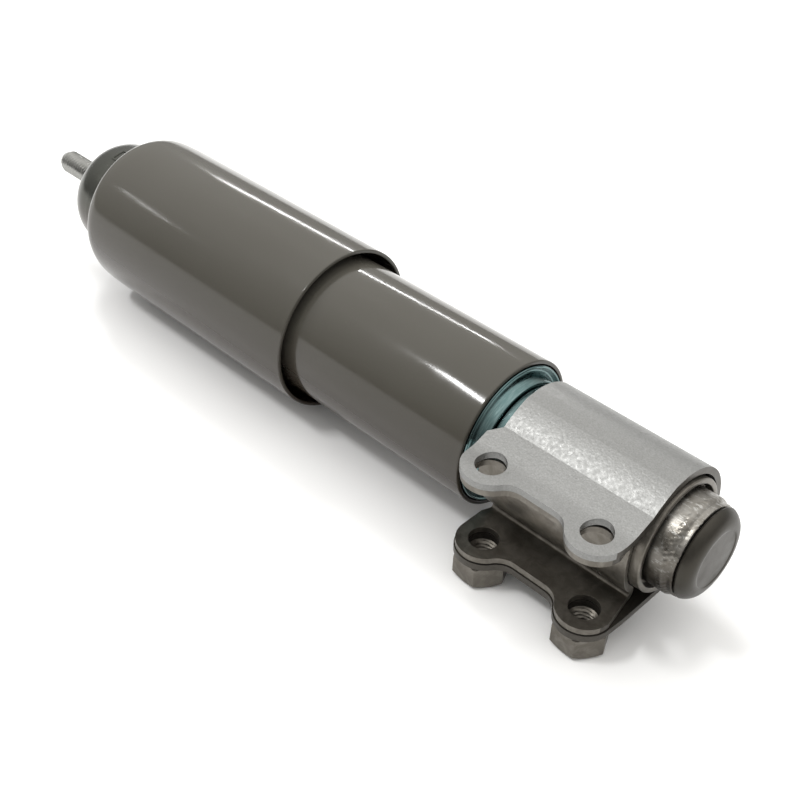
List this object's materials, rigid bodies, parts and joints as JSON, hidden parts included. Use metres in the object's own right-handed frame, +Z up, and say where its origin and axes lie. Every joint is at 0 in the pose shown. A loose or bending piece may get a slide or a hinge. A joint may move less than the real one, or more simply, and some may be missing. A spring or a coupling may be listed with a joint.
{
  "type": "telescopic shock absorber",
  "caption": "Spring and damper strut with telescoping tube covers, a threaded top stud and a two-ear clamp bracket for a pair of cross bolts.",
  "frame": {"origin": "centre of the flat end face of the top stud, on the strut's axis", "axes": "+X along the strut from the stud towards the clamp bracket, +Z up out of the upper ear's face, so the ears stand out on -Y"},
  "size_m": [0.2786, 0.0575, 0.0532],
  "materials": {
    "taupe_paint": "glossy warm grey paint",
    "light_zinc_flake": "light silver, matte, fine orange peel",
    "dark_steel": "dark gunmetal, semi-gloss",
    "bright_zinc": "bright zinc plate with a blue-green tint",
    "bare_steel": "bare drawn steel, scuffed",
    "steel": "plain steel",
    "hard_chrome": "ground and chromed",
    "spring_steel": "black coated spring wire",
    "sintered_alloy": "machined",
    "bronze": "sintered bushing",
    "black_rubber": "moulded rubber",
    "guide_plastic": "moulded plastic"
  },
  "bodies": {
    "strut_body": {"coil_spring": "spring_steel", "reservoir_tube": "bare_steel", "pressure_tube": "steel", "seal_retainer": "steel", "wiper_seal": "black_rubber", "rod_seal": "black_rubber", "rod_guide": "sintered_alloy", "guide_bush": "bronze", "base_valve": "sintered_alloy", "base_valve_disc": "steel", "base_valve_rivet": "steel", "end_cap": "bare_steel", "lower_sleeve": "taupe_paint", "sleeve_guide_ring": "guide_plastic", "lower_spring_pad": "black_rubber", "lower_spring_seat": "bright_zinc", "mount_collar": "bare_steel", "clamp_strap": "light_zinc_flake", "inner_channel": "dark_steel", "weld_nut_1": "dark_steel", "weld_nut_2": "dark_steel"},
    "spring_seat": {"top_pad": "black_rubber", "upper_spring_washer": "steel"},
    "rod_and_cover": {"piston_rod": "hard_chrome", "top_dome": "bright_zinc", "seat_washer": "steel", "bump_stop": "black_rubber", "outer_cover": "taupe_paint", "rebound_stop": "black_rubber", "rebound_washer": "steel", "piston": "sintered_alloy", "piston_band": "guide_plastic", "compression_washer": "steel", "piston_nut": "steel"}
  },
  "joints": [
    {"name": "rod_slide", "type": "slide", "parent": "strut_body", "child": "spring_seat", "axis": [1, 0, 0], "range_m": [0, 0.05], "stiffness_N_per_m": 15000, "springref_m": -0.01, "deforming": ["coil_spring"]},
    {"name": "rod_turn", "type": "hinge", "parent": "spring_seat", "child": "rod_and_cover", "pos_m": [0.1, 0, 0], "axis": [1, 0, 0], "continuous": true}
  ]
}
